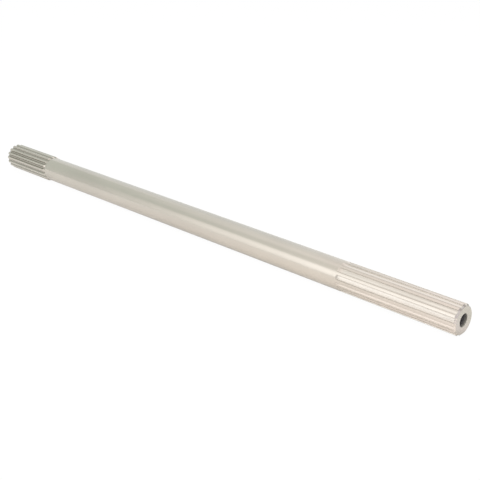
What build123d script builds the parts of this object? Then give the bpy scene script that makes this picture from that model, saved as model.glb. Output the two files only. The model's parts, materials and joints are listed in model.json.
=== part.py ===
from build123d import *
from math import asin, cos, pi, radians, sin, sqrt, tan
import os

os.makedirs("parts", exist_ok=True)

# Driving dimensions, in mm and degrees
# The axis of the shaft is X. The origin is the centre of the bored end face, and the far end is at -X.
overall_length = 756.0
shaft_diameter = 32.0

# Bored end: face chamfer, and a blind drilled bore with a chamfered mouth
end_chamfer = 2.0
bore_diameter = 13.5
bore_depth = 40.0
bore_mouth_chamfer = 0.5
drill_point_angle = 118.0

# Straight-sided spline at the bored end: the lands keep the diameter of the shaft
land_count = 12
land_width = 3.6
straight_groove_depth = 0.8
straight_groove_length = 134.0
straight_cutter_radius = 32.0

# Involute spline at the far end: the tips stand above the shaft, the teeth are turned from the lands
tooth_count = 16
tooth_module = 2.0
pressure_angle = 30.0
tooth_thickness_at_pitch = 3.6
tooth_tip_diameter = 34.6
tooth_root_diameter = 30.4
tooth_turn = -3.75
tooth_length = 90.5
tooth_end_chamfer = 0.6
hob_radius = 35.0

# Cone from the tooth tips down to the plain shaft, and how far the tooth grooves run out past its foot
shoulder_angle = 30.0
groove_overrun = 1.5

# How far the groove tools reach past the surfaces that they cut
tool_overreach = 1.0

# Radii and stations worked out from the driving dimensions
shaft_radius = shaft_diameter / 2
bore_radius = bore_diameter / 2
bore_mouth_radius = bore_radius + bore_mouth_chamfer
drill_point_length = bore_radius / tan(radians(drill_point_angle / 2))
straight_floor_radius = shaft_radius - straight_groove_depth
tip_radius = tooth_tip_diameter / 2
root_radius = tooth_root_diameter / 2
pitch_radius = tooth_module * tooth_count / 2
base_radius = pitch_radius * cos(radians(pressure_angle))
far_end = -overall_length
shoulder_top = far_end + tooth_length
shoulder_foot = shoulder_top + (tip_radius - shaft_radius) / tan(radians(shoulder_angle))


def runout_length(cutter_radius, rise):
    """Length along the shaft in which a round cutter climbs by rise from the groove's floor."""
    return sqrt(cutter_radius**2 - (cutter_radius - rise) ** 2)


def involute_angle(radius):
    """Turn of the involute from its start on the base circle to the given radius."""
    roll = sqrt((radius / base_radius) ** 2 - 1)
    return roll - (pi / 2 - asin(base_radius / radius))


def flank_point(radius, side):
    """Point of a tooth's flank, for a tooth centred on the sketch's x axis; side is 1 or -1."""
    half_at_pitch = tooth_thickness_at_pitch / (2 * pitch_radius)
    angle = side * (half_at_pitch + involute_angle(pitch_radius) - involute_angle(radius))
    return (radius * cos(angle), radius * sin(angle))


def inner_point(radius, side):
    """Point straight inwards of the flank's start, at the given radius."""
    start = Vector(*flank_point(flank_start_radius, side))
    inner = start.normalized() * radius
    return (inner.X, inner.Y)


def groove_ring(open_x, floor_end_x, floor_radius, top_radius, cutter_radius):
    """Half section of the ring that the grooves share: a level floor that ends in the cutter's arc."""
    direction = 1 if floor_end_x > open_x else -1
    arc_end_x = floor_end_x + direction * runout_length(cutter_radius, top_radius - floor_radius)
    with BuildLine() as outline:
        floor = Line((open_x, floor_radius), (floor_end_x, floor_radius))
        climb = TangentArc(floor @ 1, (arc_end_x, top_radius), tangent=floor % 1)
        Polyline(climb @ 1, (open_x, top_radius), floor @ 0)
    return outline.edges()


# The involute flank starts on the base circle, or on the groove's floor where that is larger
flank_start_radius = max(base_radius, root_radius)
tooth_tool_radius = tip_radius + tool_overreach
flank_steps = 4
flank_radii = [
    flank_start_radius + (tooth_tool_radius - flank_start_radius) * step / flank_steps
    for step in range(flank_steps + 1)
]

# Grooves of the straight-sided spline: a ring with the lands left standing
land_height = straight_groove_depth + 2 * tool_overreach
land_middle_radius = shaft_radius - straight_groove_depth / 2
with BuildPart() as straight_grooves:
    with BuildSketch(Plane.XZ):
        straight_ring = groove_ring(
            tool_overreach,
            -straight_groove_length,
            straight_floor_radius,
            shaft_radius + tool_overreach,
            straight_cutter_radius,
        )
        make_face(straight_ring)
    revolve(axis=Axis.X)
    with BuildSketch(Plane.YZ.offset(tool_overreach)):
        with PolarLocations(land_middle_radius, land_count):
            Rectangle(land_height, land_width)
    extrude(amount=-overall_length / 2, mode=Mode.SUBTRACT)

# Grooves of the involute spline: a ring with the teeth left standing
shaft_groove_depth = max(shaft_radius - root_radius, 0)
tooth_floor_end = shoulder_foot + groove_overrun - runout_length(hob_radius, shaft_groove_depth)
with BuildPart() as involute_grooves:
    with BuildSketch(Plane.XZ):
        involute_ring = groove_ring(
            far_end - tool_overreach,
            tooth_floor_end,
            root_radius,
            tooth_tool_radius,
            hob_radius,
        )
        make_face(involute_ring)
    revolve(axis=Axis.X)
    with BuildSketch(Plane.YZ.offset(far_end - tool_overreach)):
        with BuildLine():
            upper = Spline(*[flank_point(radius, 1) for radius in flank_radii])
            lower = Spline(*[flank_point(radius, -1) for radius in flank_radii])
            Line(upper @ 1, lower @ 1)
            Polyline(
                upper @ 0,
                inner_point(root_radius - tool_overreach, 1),
                inner_point(root_radius - tool_overreach, -1),
                lower @ 0,
            )
        tooth = make_face(mode=Mode.PRIVATE)
        with PolarLocations(0, tooth_count, start_angle=tooth_turn):
            add(tooth)
    extrude(amount=overall_length / 2, mode=Mode.SUBTRACT)

# The shaft: a turned blank, with both splines cut and the end bored
with BuildPart() as splined_shaft:
    with BuildSketch(Plane.XZ):
        with BuildLine():
            Polyline(
                (0, 0),
                (0, shaft_radius - end_chamfer),
                (-end_chamfer, shaft_radius),
                (shoulder_foot, shaft_radius),
                (shoulder_top, tip_radius),
                (far_end + tooth_end_chamfer, tip_radius),
                (far_end, tip_radius - tooth_end_chamfer),
                (far_end, 0),
                close=True,
            )
        make_face()
    revolve(axis=Axis.X)
    add(straight_grooves.part, mode=Mode.SUBTRACT)
    add(involute_grooves.part, mode=Mode.SUBTRACT)
    with BuildSketch(Plane.XZ):
        with BuildLine():
            Polyline(
                (0, 0),
                (0, bore_mouth_radius),
                (-bore_mouth_chamfer, bore_radius),
                (-bore_depth, bore_radius),
                (-bore_depth - drill_point_length, 0),
                close=True,
            )
        make_face()
    revolve(axis=Axis.X, mode=Mode.SUBTRACT)

splined_shaft.part.label = "splined_shaft"
export_step(splined_shaft.part, "parts/splined_shaft.step")
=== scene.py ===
import bpy
import json
import math
from mathutils import Matrix, Vector


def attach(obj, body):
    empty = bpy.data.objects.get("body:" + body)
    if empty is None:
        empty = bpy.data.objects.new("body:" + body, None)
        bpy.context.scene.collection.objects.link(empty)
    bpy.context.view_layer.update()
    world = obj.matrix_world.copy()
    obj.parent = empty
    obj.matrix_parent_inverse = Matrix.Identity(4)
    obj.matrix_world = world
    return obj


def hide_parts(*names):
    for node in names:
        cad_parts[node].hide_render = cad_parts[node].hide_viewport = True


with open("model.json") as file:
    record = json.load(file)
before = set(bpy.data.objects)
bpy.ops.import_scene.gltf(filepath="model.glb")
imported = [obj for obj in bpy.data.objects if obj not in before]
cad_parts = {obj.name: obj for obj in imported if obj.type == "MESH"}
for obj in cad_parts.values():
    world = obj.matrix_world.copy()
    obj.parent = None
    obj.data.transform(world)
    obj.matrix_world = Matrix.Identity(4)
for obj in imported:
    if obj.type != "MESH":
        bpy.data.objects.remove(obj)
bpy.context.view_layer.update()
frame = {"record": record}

# Camera: place, direction and roll fitted to the outline of the shaft in the photograph
image_size = 480
focal_pixels = 880
sensor_width = 36.0
clip_near = 0.01
clip_far = 20.0
camera_place = Vector((0.3626, -0.6801, 0.3654))
camera_forward = Vector((-0.6466, 0.6709, -0.3631))
camera_roll = math.radians(1.09)

# Sizes of the shaft in mm: the main ones come from the frame's mounts, the others are those of the solid.
# The axis is X, the bored end is at 0 and the far end at -X
millimetre = 0.001
mounts = {mount["name"]: mount for mount in frame["record"]["mounts"]}
overall_length = round(-mounts["far_end_face"]["pos_m"][0] / millimetre, 3)
shaft_radius = mounts["journal"]["dims"]["r_mm"]
end_chamfer = 2.0
bore_radius = mounts["end_bore"]["dims"]["r_mm"]
bore_mouth_chamfer = 0.5
bore_depth = mounts["end_bore"]["dims"]["length_mm"] + bore_mouth_chamfer
drill_point_angle = math.radians(118)

land_count = 12
land_half_width = 1.8
straight_groove_depth = 0.8
straight_groove_length = mounts["straight_spline"]["dims"]["length_mm"]
straight_cutter_radius = 32.0

tooth_count = 16
tooth_turn = math.radians(-3.75)
pitch_radius = 16.0
pressure_angle = math.radians(30)
tooth_thickness_at_pitch = 3.6
tip_radius = mounts["involute_spline"]["dims"]["r_mm"]
root_radius = 15.2
tooth_length = mounts["involute_spline"]["dims"]["length_mm"]
tooth_end_chamfer = 0.6
hob_radius = 35.0
shoulder_angle = math.radians(30)
groove_overrun = 1.5

# Worn edges and rounded groove corners, in mm
turned_edge = 0.12
land_edge = 0.16
land_corner = 0.2
tooth_edge = 0.22
tooth_corner = 0.45

# They take at most these shares of a shallow groove's depth, or of the sides beside a turned edge.
# A groove that is shallower than fade_depth fades into the surface
edge_share = 0.3
corner_share = 0.4
side_share = 0.4
fade_depth = 0.12

# Painted shade with some dirt, from 0 to 1, on a groove's edge, wall and corner, and across its floor from
# the corner to the middle:
# it darkens the grooves' corners and the lands' edges where shade falls. On the top of a land or tooth it
# falls off from the edge by a power
land_shade_and_dirt = {"edge": 0.84, "wall": 0.66, "corner": 0.60, "floor": (0.60, 0.58, 0.40, 0.20, 0.0)}
tooth_shade_and_dirt = {"edge": 0.30, "wall": 0.88, "corner": 0.84, "floor": (0.80, 0.75, 0.71)}
top_shade_and_dirt_power = 4

# How much of the cutter's marks a groove shows, from 0 to 1
land_marks = 1.0
tooth_marks = 0.15

# Points of a ring: steps along half a top, an edge, a wall, a corner and half a groove floor
land_steps = (4, 3, 2, 3, 4)
tooth_steps = (3, 2, 3, 2, 2)
turned_steps = 3

# Stations of the rings, in mm: gaps between them, or distances from what the name says. A station of the
# turned outline belongs to the chamfer or shoulder that is within outline_reach
outline_reach = 1.0
face_step = 0.6
bore_ring_depths = (1.5, 3.0, 5.0, 8.0)
after_end_chamfer = (0.5, 1.5, 4.0)
straight_ring_gap = 12.0
before_straight_end = (7.0, 3.0, 0.5)
straight_runout_steps = 14
after_straight_end = (8.0, 11.0)
plain_ring_places = (200.0, 300.0, 400.0, 500.0, 600.0)
before_shoulder = (25.5, 9.5, 6.5)
tooth_runout_gap = 0.3
tooth_runout_rings = 34
before_far_end = (84.0, 80.0, 66.0, 51.0, 36.0, 21.0, 8.0, 3.0, 1.0)
far_face_radii = (12.0, 1.0)

# The bore, in mm: the drill point's blunt end, where the bore's finish starts, and the depth at which its
# painted shade is darkest
point_blunt_length = 0.3
point_blunt_radius = 0.5
bore_finish_start = 0.2
bore_shade_depth = 4.0

# Finish and painted shade of the last points at both ends of the mesh: painted shade and dirt, cutter's
# marks, bored, and how deep in the bore, which sets the bore's painted shade
drill_tip_finish_and_shade = (0.0, 0.0, 1.0, 1.0)
far_face_finish_and_shade = (0.0, 0.0, 0.0, 0.0)

# Faces that meet at a larger angle than this keep a crisp edge between them
sharp_angle = math.radians(38)


def make_camera():
    data = bpy.data.cameras.new("camera")
    data.sensor_width = sensor_width
    data.lens = sensor_width * focal_pixels / image_size
    data.clip_start = clip_near
    data.clip_end = clip_far
    camera = bpy.data.objects.new("camera", data)
    bpy.context.scene.collection.objects.link(camera)
    turn = camera_forward.to_track_quat("-Z", "Y").to_matrix().to_4x4()
    camera.matrix_world = Matrix.Translation(camera_place) @ turn @ Matrix.Rotation(camera_roll, 4, "Z")
    return camera


bpy.context.scene.camera = make_camera()
bpy.context.scene.view_settings.view_transform = "Standard"


def runout(cutter_radius, rise):
    """Length along the shaft in which a round cutter climbs by rise from the groove's floor."""
    return math.sqrt(cutter_radius**2 - (cutter_radius - rise) ** 2)


def groove_floor(climb, length, floor_radius, cutter_radius):
    """Radius of a groove's floor at the distance climb along a run-out of the given length."""
    if climb >= length:
        return shaft_radius
    return floor_radius + cutter_radius - math.sqrt(cutter_radius**2 - max(climb, 0.0) ** 2)


def involute(radius):
    """Turn of the involute from its start on the base circle to the given radius."""
    roll = math.sqrt((radius / base_radius) ** 2 - 1)
    return roll - math.atan(roll)


# Radii and stations worked out from the sizes
base_radius = pitch_radius * math.cos(pressure_angle)
far_end = -overall_length
drill_tip = -bore_depth - bore_radius / math.tan(drill_point_angle / 2)
straight_floor_radius = shaft_radius - straight_groove_depth
straight_end = -straight_groove_length
straight_runout = runout(straight_cutter_radius, straight_groove_depth)
shoulder_top = far_end + tooth_length
shoulder_foot = shoulder_top + (tip_radius - shaft_radius) / math.tan(shoulder_angle)
tooth_groove_end = shoulder_foot + groove_overrun
tooth_runout = runout(hob_radius, shaft_radius - root_radius)
tooth_floor_end = tooth_groove_end - tooth_runout


def bend(start, corner, end, count):
    """Points after start on the curve that rounds a corner. A point is a tuple of any length."""
    points = []
    for step in range(1, count + 1):
        s = step / count
        weights = ((1 - s) ** 2, 2 * s * (1 - s), s * s)
        point = (sum(w * v for w, v in zip(weights, values)) for values in zip(start, corner, end))
        points.append(tuple(point))
    return points


def level_profile(radius, count, steps):
    """Half profile of a surface without grooves: evenly spaced points (angle, radius, painted shade and
    dirt, marks).
    """
    half_pitch = math.pi / count
    return [(half_pitch * step / steps, radius, 0.0, 0.0) for step in range(steps + 1)]


def ring(x, half, count, turn, bored=0.0, bore_shade=0.0):
    """A closed ring of points with their finish and painted shade, from the half profile of one land or
    tooth.
    """
    pitch = 2 * math.pi / count
    around = half[:-1] + [(pitch - angle, *rest) for angle, *rest in reversed(half[1:])]
    points = []
    for k in range(count):
        for angle, radius, shade_and_dirt, marks in around:
            theta = turn + k * pitch + angle
            y = radius * math.cos(theta)
            z = radius * math.sin(theta)
            points.append(((x * millimetre, y * millimetre, z * millimetre), (shade_and_dirt, marks, bored, bore_shade)))
    return points


def plain_ring(x, radius, turn=0.0, bored=0.0, bore_shade=0.0):
    """A ring of evenly spaced points, as many as round a spline."""
    return ring(x, level_profile(radius, land_count, sum(land_steps)), land_count, turn, bored, bore_shade)


class Spline:
    """A spline's rings. Its half profile runs from the middle of a land or tooth to that of the groove."""

    def half_profile(self, x, top):
        """Points (angle, radius, painted shade and dirt, marks) at x, where the blank's radius is top."""
        level = level_profile(top, self.count, sum(self.steps))
        floor = self.floor(x)
        depth = top - floor
        if depth <= 0:
            return level
        flank = self.flank
        shade_and_dirt = self.shade_and_dirt
        marks = self.marks(x)
        edge = min(self.edge, depth * edge_share)
        corner = min(self.corner, depth * corner_share)
        top_steps, edge_steps, wall_steps, corner_steps, floor_steps = self.steps

        # Painted shade with some dirt: these values darken the land and tooth edges, the groove walls and
        # their corners
        points = [(0.0, top, 0.0, 0.0)]
        for step in range(1, top_steps + 1):
            share = step / top_steps
            top_shade_and_dirt = shade_and_dirt["edge"] * share**top_shade_and_dirt_power
            points.append(((flank(top) - edge / top) * share, top, top_shade_and_dirt, 0.0))

        edge_end = (flank(top - edge), top - edge, max(shade_and_dirt["edge"], shade_and_dirt["wall"] / 2), marks)
        points += bend(points[-1], (flank(top), top, shade_and_dirt["edge"], 0.0), edge_end, edge_steps)

        wall_height = top - edge - (floor + corner)
        for step in range(1, wall_steps + 1):
            share = step / wall_steps
            radius = top - edge - wall_height * share
            points.append((flank(radius), radius, shade_and_dirt["wall"] * (1 + share) / 2, marks))

        corner_end = (flank(floor) + corner / floor, floor, shade_and_dirt["floor"][0], marks)
        points += bend(points[-1], (flank(floor), floor, shade_and_dirt["corner"], marks), corner_end, corner_steps)

        floor_start = points[-1][0]
        for step in range(1, floor_steps + 1):
            angle = floor_start + (math.pi / self.count - floor_start) * step / floor_steps
            points.append((angle, floor, shade_and_dirt["floor"][step], marks))

        share = min(1.0, depth / fade_depth)
        return [tuple(a + (b - a) * share for a, b in zip(*pair)) for pair in zip(level, points)]

    def ring(self, x, top):
        return ring(x, self.half_profile(x, top), self.count, self.turn)


class StraightSpline(Spline):
    count = land_count
    turn = 0.0
    edge = land_edge
    corner = land_corner
    shade_and_dirt = land_shade_and_dirt
    steps = land_steps

    def flank(self, radius):
        """Half angle of a land at the given radius: its sides are parallel."""
        return math.asin(land_half_width / radius)

    def floor(self, x):
        """Radius of the groove's floor: level, then the cutter's arc up to the surface."""
        climb = straight_end - x
        return groove_floor(climb, straight_runout, straight_floor_radius, straight_cutter_radius)

    def marks(self, x):
        """The cutter's marks fade where it leaves the groove."""
        left = min(max(straight_end - x, 0.0) / straight_runout, 1.0)
        return land_marks * (1.0 - left)


class InvoluteSpline(Spline):
    count = tooth_count
    turn = tooth_turn
    edge = tooth_edge
    corner = tooth_corner
    shade_and_dirt = tooth_shade_and_dirt
    steps = tooth_steps

    def flank(self, radius):
        """Half angle of a tooth at the given radius: its sides are involutes."""
        return tooth_thickness_at_pitch / (2 * pitch_radius) + involute(pitch_radius) - involute(radius)

    def floor(self, x):
        """Radius of the groove's floor: level, then the hob's arc, which ends just past the shoulder."""
        return groove_floor(x - tooth_floor_end, tooth_runout, root_radius, hob_radius)

    def marks(self, x):
        return tooth_marks


def rounded(corners, size):
    """Stations (x, radius) along a turned outline whose inner corners are rounded."""
    stations = [corners[0]]
    for before, corner, after in zip(corners, corners[1:], corners[2:]):
        ends = []
        for other in (before, after):
            away = Vector(other) - Vector(corner)
            reach = min(size, away.length * side_share)
            ends.append(tuple(Vector(corner) + away.normalized() * reach))
        stations.append(ends[0])
        stations += bend(ends[0], corner, ends[1], turned_steps)
    stations.append(corners[-1])
    return stations


# Turned outline of the shaft from the bored end to the far end
outline = rounded(
    [
        (0.0, shaft_radius - end_chamfer - face_step),
        (0.0, shaft_radius - end_chamfer),
        (-end_chamfer, shaft_radius),
        (shoulder_foot, shaft_radius),
        (shoulder_top, tip_radius),
        (far_end + tooth_end_chamfer, tip_radius),
        (far_end, tip_radius - tooth_end_chamfer),
        (far_end, tip_radius - tooth_end_chamfer - face_step),
    ],
    turned_edge,
)


def blank_radius(x):
    """Radius of the turned outline at x, between the two end faces."""
    for (x0, r0), (x1, r1) in zip(outline, outline[1:]):
        if x1 < x <= x0:
            return r0 + (r1 - r0) * (x0 - x) / (x0 - x1)


def bore_rings():
    """From the drill point out to the bore's mouth, and over the end face as far as its chamfer."""
    stations = rounded(
        [
            (drill_tip + point_blunt_length, point_blunt_radius),
            (-bore_depth, bore_radius),
            (-bore_mouth_chamfer, bore_radius),
            (0.0, bore_radius + bore_mouth_chamfer),
            outline[0],
        ],
        turned_edge,
    )
    stations += [(-depth, bore_radius) for depth in bore_ring_depths]
    rings = []
    for x, radius in sorted(stations):
        bored = 1.0 if x < -bore_finish_start else 0.0
        rings.append(plain_ring(x, radius, 0.0, bored, min(-x / bore_shade_depth, 1.0)))
    return rings


def straight_spline_rings():
    """From the end face over its chamfer, and along the grooves until they have run out."""
    spline = StraightSpline()
    chamfer = [(x, radius) for x, radius in outline[1:] if x > -end_chamfer - outline_reach]
    gaps = int(straight_groove_length / straight_ring_gap)
    places = [-end_chamfer - after for after in after_end_chamfer]
    places += [-straight_ring_gap * step for step in range(1, gaps)]
    places += [straight_end + before for before in before_straight_end]
    for step in range(straight_runout_steps + 1):
        places.append(straight_end - straight_runout * step / straight_runout_steps)
    stations = chamfer + [(x, shaft_radius) for x in places]
    return [spline.ring(x, radius) for x, radius in stations]


def journal_rings():
    """Along the plain stretch, where the rings turn from the lands to the teeth."""
    turn_start, turn_end = plain_ring_places[0], plain_ring_places[-1]
    places = [straight_end - after for after in after_straight_end]
    places += [-place for place in plain_ring_places]
    places += [shoulder_top + before for before in before_shoulder]
    rings = []
    for x in places:
        share = min(max((-x - turn_start) / (turn_end - turn_start), 0.0), 1.0)
        rings.append(plain_ring(x, shaft_radius, tooth_turn * share))
    return rings


def involute_spline_rings():
    """From where the tooth grooves end, over the shoulder and the teeth, and across the far end face."""
    spline = InvoluteSpline()
    shoulder_start = shoulder_foot + outline_reach
    shoulder_end = shoulder_top - outline_reach
    chamfer_start = far_end + tooth_end_chamfer + outline_reach
    places = [tooth_groove_end - tooth_runout_gap * step for step in range(tooth_runout_rings)]
    places += [x for x, radius in outline if shoulder_end < x < shoulder_start]
    places += [far_end + before for before in before_far_end]
    places = {round(x, 4) for x in places}
    stations = [(x, blank_radius(x)) for x in sorted(places, reverse=True)]
    stations += [(x, radius) for x, radius in outline[:-1] if x < chamfer_start]
    rings = [spline.ring(x, radius) for x, radius in stations]
    return rings + [plain_ring(far_end, radius, tooth_turn) for radius in far_face_radii]


def skin(rings, first_tip, last_tip):
    """Vertices and faces of the closed surface over the rings, with a point at each end."""
    count = len(rings[0])
    vertices = [point for points in rings for point in points] + [first_tip, last_tip]
    first = len(vertices) - 2
    last = len(vertices) - 1
    last_ring = (len(rings) - 1) * count
    faces = []
    for start in range(0, last_ring, count):
        for i in range(count):
            j = (i + 1) % count
            faces.append((start + i, start + count + i, start + count + j, start + j))
    for i in range(count):
        j = (i + 1) % count
        faces.append((first, i, j))
        faces.append((last, last_ring + j, last_ring + i))
    return vertices, faces


def make_shaft():
    """The shaft as one mesh. Its attribute finish holds the painted shade and dirt, marks, bored and bore
    shade of each point.
    """
    rings = bore_rings() + straight_spline_rings() + journal_rings() + involute_spline_rings()
    first_tip = ((drill_tip * millimetre, 0.0, 0.0), drill_tip_finish_and_shade)
    last_tip = ((far_end * millimetre, 0.0, 0.0), far_face_finish_and_shade)
    vertices, faces = skin(rings, first_tip, last_tip)
    mesh = bpy.data.meshes.new("shaft_body")
    mesh.from_pydata([place for place, finish in vertices], [], faces)
    finish_and_shade_values = mesh.attributes.new("finish", "FLOAT_COLOR", "POINT")
    finish_and_shade_values.data.foreach_set("color", [value for place, finish in vertices for value in finish])
    mesh.polygons.foreach_set("use_smooth", [True] * len(mesh.polygons))
    mesh.set_sharp_from_angle(angle=sharp_angle)
    body = bpy.data.objects.new("shaft_body", mesh)
    bpy.context.scene.collection.objects.link(body)
    return body


shaft = make_shaft()
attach(shaft, "root")
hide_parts("splined_shaft")

white = (1.0, 1.0, 1.0, 1.0)

# The part of a noise's range from 0 to 1 in which tones change, and the brightest that a gradient may be
tone_range = (0.3, 0.7)
brightest_stop = 2.0


class Tree:
    """Node tree of a material or world, made from nothing. A value is a number, a tuple or an output."""

    def __init__(self, owner):
        owner.use_nodes = True
        self.nodes = owner.node_tree.nodes
        self.links = owner.node_tree.links
        self.nodes.clear()

    def node(self, kind, values=None, **settings):
        """A new node with the given settings. The values are given by the names or numbers of inputs."""
        node = self.nodes.new("ShaderNode" + kind)
        for name, setting in settings.items():
            setattr(node, name, setting)
        for name, value in (values or {}).items():
            if isinstance(value, (int, float, tuple)):
                node.inputs[name].default_value = value
            else:
                self.links.new(value, node.inputs[name])
        return node

    def calculate(self, operation, *values):
        return self.node("Math", dict(enumerate(values)), operation=operation).outputs[0]

    def coordinates(self, kind="Object"):
        return self.node("TexCoord").outputs[kind]

    def noise(self, scale, detail, fineness):
        """Noise with a grain of its own along each axis: a small fineness draws it out."""
        place = self.node("Mapping", {"Vector": self.coordinates(), "Scale": fineness}).outputs[0]
        return self.node("TexNoise", {"Vector": place, "Scale": scale, "Detail": detail}).outputs["Fac"]

    def tone(self, value, tones):
        """Colour that goes from one tone to the other while the value goes through tone_range."""
        node = self.node("ValToRGB", {0: value})
        for element, position, colour in zip(node.color_ramp.elements, tone_range, tones):
            element.position = position
            element.color = colour
        return node.outputs[0]

    def spread(self, value, low, high):
        """Number that goes from low to high while the value goes from 0 to 1."""
        return self.node("MapRange", {"Value": value, "To Min": low, "To Max": high}).outputs[0]

    def mix(self, share, first, second):
        """Number between two numbers."""
        step = self.calculate("MULTIPLY", self.calculate("SUBTRACT", second, first), share)
        return self.calculate("ADD", first, step)

    def blend(self, share, first, second):
        """Colour between two colours."""
        return self.node("Mix", {0: share, 6: first, 7: second}, data_type="RGBA").outputs[2]

    def product(self, first, second):
        """Two colours multiplied."""
        return self.node("VectorMath", {0: first, 1: second}, operation="MULTIPLY").outputs[0]

    def gradient(self, value, stops, reach=1.0):
        """Colour by a value from -reach to reach. A stop is (value, red, green, blue)."""
        share = self.calculate("DIVIDE", self.calculate("ADD", value, reach), 2 * reach)
        node = self.node("ValToRGB", {0: share})
        elements = node.color_ramp.elements
        for element, (position, *colour) in zip(elements, (stops[0], stops[-1])):
            element.position = (position + reach) / (2 * reach)
            element.color = (*(part / brightest_stop for part in colour), 1.0)
        for position, *colour in stops[1:-1]:
            element = elements.new((position + reach) / (2 * reach))
            element.color = (*(part / brightest_stop for part in colour), 1.0)
        scaled = {0: node.outputs[0], "Scale": brightest_stop}
        return self.node("VectorMath", scaled, operation="SCALE").outputs[0]


# Steel, where it is ground and where it is milled: two tones and the range of roughness of each. Then the
# painted shade and dirt, the bore's wall at the mouth and its painted shade further in, and the relief of
# the lines that the tools left
ground_tones = ((0.600, 0.563, 0.497, 1.0), (0.640, 0.602, 0.532, 1.0))
# The milled tones are lighter than the ground ones of the same steel: a painted brightening for the groove
# floors' brighter reflections
milled_brightened_tones = ((0.682, 0.648, 0.583, 1.0), (0.846, 0.805, 0.728, 1.0))
ground_roughness = (0.20, 0.30)
milled_roughness = (0.30, 0.42)
shade_and_dirt_colour = (0.16, 0.14, 0.115, 1.0)
shade_and_dirt_power = 3.5
shade_and_dirt_range = (0.85, 1.0)
# The bore's wall goes from the mouth colour to a dark colour further in: painted shade of the bore's recess
bore_mouth_colour = (0.64, 0.63, 0.54, 1.0)
bore_shade_colour = (0.21, 0.20, 0.215, 1.0)
bore_added_roughness = 0.2
bore_added_metallic = -0.7
bump_strength = 0.04
bump_distance = 0.0001


def steel_material():
    """Steel ground round the shaft and milled along the grooves."""
    steel = bpy.data.materials.new("ground_steel_satin")
    tree = Tree(steel)
    finish = tree.node("Attribute", attribute_name="finish")
    parts = tree.node("SeparateColor", {0: finish.outputs["Color"]}).outputs
    shade_and_dirt_amount, marked, bored, bore_shade = parts[0], parts[1], parts[2], finish.outputs["Alpha"]

    clouds = tree.noise(scale=28.0, detail=3.0, fineness=(0.5, 1.0, 1.0))
    grinding = tree.noise(scale=2200.0, detail=2.0, fineness=(1.0, 0.01, 0.01))
    milling = tree.noise(scale=2600.0, detail=2.0, fineness=(0.02, 1.0, 1.0))
    streaks = tree.noise(scale=1000.0, detail=2.0, fineness=(0.012, 1.0, 1.0))
    patches = tree.noise(scale=160.0, detail=3.0, fineness=(0.15, 1.0, 1.0))

    # Where the cutter's marks show, the tone is the lighter milled one: painted brightening of the grooves
    colour = tree.blend(marked, tree.tone(clouds, ground_tones), tree.tone(streaks, milled_brightened_tones))
    # Painted shade with some dirt: the groove corners, walls and land edges go dark towards
    # shade_and_dirt_colour
    shade_and_dirt = tree.calculate("POWER", shade_and_dirt_amount, shade_and_dirt_power)
    shade_and_dirt = tree.calculate("MULTIPLY", shade_and_dirt, tree.spread(patches, *shade_and_dirt_range))
    colour = tree.blend(shade_and_dirt, colour, shade_and_dirt_colour)
    # Painted shade in the bore: its wall darkens with depth
    colour = tree.blend(bored, colour, tree.blend(bore_shade, bore_mouth_colour, bore_shade_colour))

    ground = tree.spread(grinding, *ground_roughness)
    milled = tree.spread(milling, *milled_roughness)
    roughness = tree.mix(marked, ground, milled)
    roughness = tree.calculate("MULTIPLY_ADD", bored, bore_added_roughness, roughness)
    metallic = tree.calculate("MULTIPLY_ADD", bored, bore_added_metallic, 1.0)
    height = tree.mix(marked, grinding, milling)
    bump = tree.node("Bump", {"Strength": bump_strength, "Distance": bump_distance, "Height": height})

    shader = tree.node(
        "BsdfPrincipled",
        {"Base Color": colour, "Metallic": metallic, "Roughness": roughness, "Normal": bump.outputs[0]},
    )
    tree.node("OutputMaterial", {"Surface": shader.outputs[0]})
    return steel


shaft.data.materials.append(steel_material())

# World: white, and seen at strength 1, but it lights the object at the strength world_light. Glossy
# reflections see two colours multiplied, one by the x and one by the y of their direction
world_light = 0.65
world_lengthwise = (
    (-1.0, 0.90, 0.92, 0.91),
    (-0.78, 0.96, 0.97, 0.97),
    (-0.68, 1.0, 1.0, 1.0),
    (-0.61, 0.96, 0.96, 0.96),
    (-0.565, 1.0, 0.98, 0.98),
    (-0.52, 1.21, 1.15, 1.12),
    (-0.48, 1.41, 1.31, 1.31),
    (-0.42, 1.49, 1.37, 1.39),
    (-0.12, 1.30, 1.22, 1.22),
    (-0.02, 0.80, 0.81, 0.79),
    (0.12, 0.75, 0.76, 0.74),
    (0.50, 1.03, 0.97, 1.08),
    (1.0, 1.03, 0.97, 1.08),
)
world_crosswise = (
    (-1.0, 1.0, 1.0, 1.0),
    (-0.62, 0.93, 0.94, 0.93),
    (-0.42, 0.83, 0.85, 0.83),
    (-0.32, 0.83, 0.85, 0.83),
    (-0.08, 1.0, 1.0, 1.0),
    (0.15, 1.0, 1.0, 1.0),
    (0.62, 0.89, 0.92, 0.93),
    (1.0, 0.92, 0.95, 0.97),
)


def make_world():
    world = bpy.data.worlds.new("studio")
    tree = Tree(world)
    paths = tree.node("LightPath").outputs
    mirrored = tree.calculate("MAXIMUM", paths["Is Glossy Ray"], paths["Is Transmission Ray"])
    seen = tree.calculate("MAXIMUM", paths["Is Camera Ray"], mirrored)
    strength = tree.calculate("MULTIPLY_ADD", seen, 1.0 - world_light, world_light)
    direction = tree.node("SeparateXYZ", {0: tree.coordinates("Generated")}).outputs
    lengthwise = tree.gradient(direction[0], world_lengthwise)
    crosswise = tree.gradient(direction[1], world_crosswise)
    colour = tree.blend(paths["Is Glossy Ray"], white, tree.product(lengthwise, crosswise))
    background = tree.node("Background", {"Color": colour, "Strength": strength})
    tree.node("OutputWorld", {"Surface": background.outputs[0]})
    return world


bpy.context.scene.world = make_world()

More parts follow.
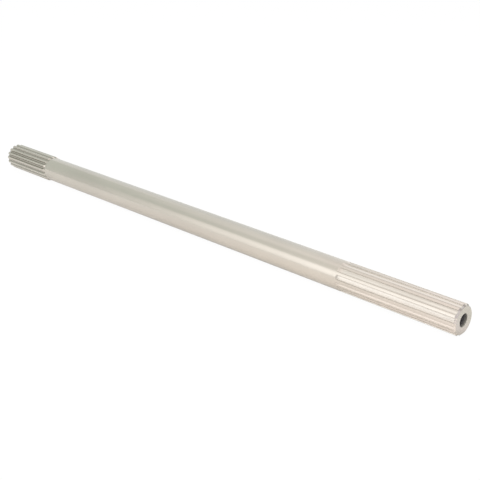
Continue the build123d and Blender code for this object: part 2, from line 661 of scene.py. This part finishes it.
# Floor: a small gap, in mm, below the tips of the far teeth and the bored end. Its half side is in metres
floor_gap = 0.02
floor_half_side = 6.0
floor_near = -(shaft_radius + floor_gap) * millimetre
floor_far = -(tip_radius + floor_gap) * millimetre

# Paper of the floor: how pale it is to the camera and otherwise, and how brightly it glows to the camera
seen_paleness = 0.05
seen_glow = 0.965
floor_paleness = 0.62

# What reflections see of the floor, by x along the shaft and y across it, in metres. In front of the shaft
# they see the front colours along it, with a factor across it beside the straight spline. Behind the shaft
# they see the behind colours across it, with a factor along it. The front shares are 1 in front of it and 0
# behind it, and the spline share is 1 beside the straight spline
# These colours glow on the floor for reflections only: painted light on the floor, with a painted shadow
# behind the shaft and painted bands of light and shade beside the straight spline
floor_front_colours = (
    (-1.0, 0.37, 0.37, 0.37),
    (-0.65, 0.362, 0.367, 0.372),
    (-0.40, 0.38, 0.36, 0.36),
    (-0.20, 0.46, 0.42, 0.40),
    (-0.135, 0.48, 0.43, 0.42),
    (-0.115, 0.545, 0.485, 0.475),
    (-0.014, 0.58, 0.51, 0.51),
    (1.0, 0.60, 0.57, 0.57),
)
floor_front_factor = (
    (-1.0, 1.0, 1.0, 1.0),
    (-0.036, 1.0, 1.0, 1.0),
    (-0.028, 0.90, 0.90, 0.90),
    (-0.020, 1.12, 1.12, 1.12),
    (-0.0125, 1.22, 1.22, 1.22),
    (1.0, 1.22, 1.22, 1.22),
)
floor_behind_colours = (
    (-1.0, 0.33, 0.33, 0.33),
    (-0.010, 0.33, 0.335, 0.34),
    (0.004, 0.37, 0.35, 0.39),
    (0.018, 0.39, 0.36, 0.42),
    (0.028, 0.33, 0.33, 0.34),
    (0.036, 0.285, 0.295, 0.28),
    (0.046, 0.285, 0.295, 0.28),
    (0.060, 0.33, 0.33, 0.33),
    (1.0, 0.33, 0.33, 0.33),
)
floor_behind_factor = (
    (-1.0, 1.18, 1.16, 1.16),
    (-0.50, 1.18, 1.16, 1.16),
    (-0.40, 1.0, 1.0, 1.0),
    (-0.140, 1.0, 1.0, 1.0),
    (-0.115, 0.60, 0.60, 0.60),
    (-0.012, 0.60, 0.60, 0.60),
    (-0.002, 0.86, 0.85, 0.80),
    (0.006, 0.84, 0.84, 0.78),
    (0.012, 0.95, 0.96, 0.93),
    (0.020, 1.0, 1.0, 1.0),
    (1.0, 1.0, 1.0, 1.0),
)
floor_front_share = ((-1.0, 1.0), (-0.019, 1.0), (-0.008, 0.0), (1.0, 0.0))
floor_front_share_at_spline = ((-1.0, 1.0), (-0.0125, 1.0), (-0.0095, 0.0), (1.0, 0.0))
floor_spline_share = ((-1.0, 0.0), (-0.145, 0.0), (-0.115, 1.0), (1.0, 1.0))


def tinted(stops, tint=(1.0, 1.0, 1.0)):
    """Stops (value, level) as stops of a gradient, with the tint's colour."""
    return [(value, *(level * part for part in tint)) for value, level in stops]


def floor_material():
    paper = bpy.data.materials.new("floor_white")
    tree = Tree(paper)
    paths = tree.node("LightPath").outputs
    mirrored = tree.calculate("MAXIMUM", paths["Is Glossy Ray"], paths["Is Transmission Ray"])
    place = tree.node("SeparateXYZ", {0: tree.coordinates()}).outputs
    x, y = place[0], place[1]

    spline = tree.gradient(x, tinted(floor_spline_share))
    front_share = tree.gradient(y, tinted(floor_front_share))
    front_share_at_spline = tree.gradient(y, tinted(floor_front_share_at_spline))
    front_share = tree.blend(spline, front_share, front_share_at_spline)
    front_factor = tree.blend(spline, white, tree.gradient(y, floor_front_factor))
    front = tree.product(tree.gradient(x, floor_front_colours), front_factor)
    behind = tree.product(tree.gradient(y, floor_behind_colours), tree.gradient(x, floor_behind_factor))
    # The reflected colour is painted light and shadow, which the floor glows with only for reflections
    reflected = tree.blend(front_share, behind, front)

    both = []
    looks = ((floor_paleness, reflected, mirrored), (seen_paleness, white, seen_glow))
    for paleness, colour, strength in looks:
        matt = tree.node("BsdfDiffuse", {"Color": (paleness, paleness, paleness, 1.0)}).outputs[0]
        glow = tree.node("Emission", {"Color": colour, "Strength": strength}).outputs[0]
        both.append(tree.node("AddShader", {0: matt, 1: glow}).outputs[0])
    views = tree.node("MixShader", {0: paths["Is Camera Ray"], 1: both[0], 2: both[1]})
    tree.node("OutputMaterial", {"Surface": views.outputs[0]})
    return paper


def make_floor():
    slope = (floor_near - floor_far) / (overall_length * millimetre)
    signs = ((-1, -1), (1, -1), (1, 1), (-1, 1))
    corners = [(x * floor_half_side, y * floor_half_side) for x, y in signs]
    mesh = bpy.data.meshes.new("floor")
    mesh.from_pydata([(x, y, floor_near + slope * x) for x, y in corners], [], [(0, 1, 2, 3)])
    mesh.materials.append(floor_material())
    ground = bpy.data.objects.new("floor", mesh)
    bpy.context.scene.collection.objects.link(ground)
    return ground


floor = make_floor()


def lamp(name, centre, aim, size, colour, power):
    """A square lamp that reflections don't show."""
    light = bpy.data.lights.new(name, "AREA")
    light.size = size
    light.color = colour
    light.energy = power
    holder = bpy.data.objects.new(name, light)
    holder.location = centre
    holder.rotation_euler = (Vector(aim) - Vector(centre)).to_track_quat("-Z", "Y").to_euler()
    holder.visible_glossy = False
    bpy.context.scene.collection.objects.link(holder)


lamp(
    "lamp_key",
    centre=(0.2, -1.0, 1.2),
    aim=(-0.2, 0.0, 0.0),
    size=1.2,
    colour=(1.0, 0.93, 0.87),
    power=9.0,
)
lamp(
    "lamp_top",
    centre=(-0.5, 0.3, 2.0),
    aim=(-0.4, 0.0, 0.0),
    size=2.0,
    colour=(1.0, 1.0, 1.0),
    power=12.0,
)

# Cards: panels that only reflections show. The colours of the front one are measured along the shaft, with
# a slant upwards, and those of the left one upwards. Outlines and stops are in metres
card_reach = 4.0
front_along = (1.0, 0.0, 0.3)
front_y = -1.6
front_outline = (
    (-2.7, 0.1),
    (-1.0, -0.01),
    (0.5, -0.01),
    (0.5, 1.28),
    (-1.7, 1.30),
    (-2.3, 1.6),
    (-2.7, 1.6),
)
front_colours = (
    (-2.7, 0.72, 0.733, 0.722),
    (-2.30, 0.72, 0.733, 0.722),
    (-2.13, 0.735, 0.745, 0.73),
    (-1.97, 1.04, 1.02, 1.02),
    (-1.80, 1.29, 1.27, 1.27),
    (-1.60, 1.29, 1.27, 1.27),
    (-1.40, 1.30, 1.28, 1.28),
    (-1.33, 1.375, 1.35, 1.35),
    (-1.20, 1.60, 1.57, 1.58),
    (-1.10, 1.61, 1.58, 1.59),
    (-0.95, 1.73, 1.71, 1.74),
    (-0.84, 1.82, 1.80, 1.86),
    (-0.50, 1.80, 1.78, 1.82),
    (-0.15, 1.15, 1.13, 1.13),
    (0.5, 1.10, 1.08, 1.08),
)
left_along = (0.0, 0.0, 1.0)
left_x = -3.2
left_outline = ((-2.6, -0.01), (0.9, -0.01), (0.9, 2.8), (-2.6, 2.8))
left_levels = ((-4.0, 0.965), (1.9, 0.965), (2.6, 1.03), (4.0, 1.03))
left_tint = (0.733, 0.78, 0.749)
left_colours = tinted(left_levels, left_tint)
dark_y = -1.5
dark_outline = ((-0.66, 0.0), (0.7, 0.0), (0.7, 0.26), (-0.66, 0.26))
dark_colour = (0.03, 0.03, 0.03)
above_corners = ((-1.2, 0.26, 1.6), (-0.5, 0.22, 1.6), (-0.5, 0.78, 1.6), (-1.2, 0.86, 1.6))
above_colour = (1.02, 0.96, 0.96)
behind_corners = ((1.75, 0.25, 0.95), (0.75, 1.85, 0.45), (0.55, 1.75, 1.15), (1.55, 0.15, 1.65))
behind_colour = (0.62, 0.59, 0.59)


def card(name, corners, stops, along=(1.0, 0.0, 0.0)):
    """A card with the colours of a gradient, measured along a direction."""
    material = bpy.data.materials.new(name)
    tree = Tree(material)
    measure = tree.node("VectorMath", {0: tree.coordinates(), 1: along}, operation="DOT_PRODUCT")
    colour = tree.gradient(measure.outputs["Value"], stops, card_reach)
    glow = tree.node("Emission", {"Color": colour, "Strength": 1.0})
    tree.node("OutputMaterial", {"Surface": glow.outputs[0]})

    mesh = bpy.data.meshes.new(name)
    mesh.from_pydata(corners, [], [tuple(range(len(corners)))])
    mesh.materials.append(material)
    panel = bpy.data.objects.new(name, mesh)
    panel.visible_camera = False
    panel.visible_diffuse = False
    panel.visible_shadow = False
    bpy.context.scene.collection.objects.link(panel)
    return panel


def even(colour):
    """Stops of a card that has one colour all over."""
    return [(-card_reach, *colour), (card_reach, *colour)]


cards = [
    card("card_front", [(x, front_y, z) for x, z in front_outline], front_colours, front_along),
    card("card_left", [(left_x, y, z) for y, z in left_outline], left_colours, left_along),
    card("card_dark", [(x, dark_y, z) for x, z in dark_outline], even(dark_colour)),
    card("card_above", above_corners, even(above_colour)),
    card("card_behind", behind_corners, even(behind_colour)),
]
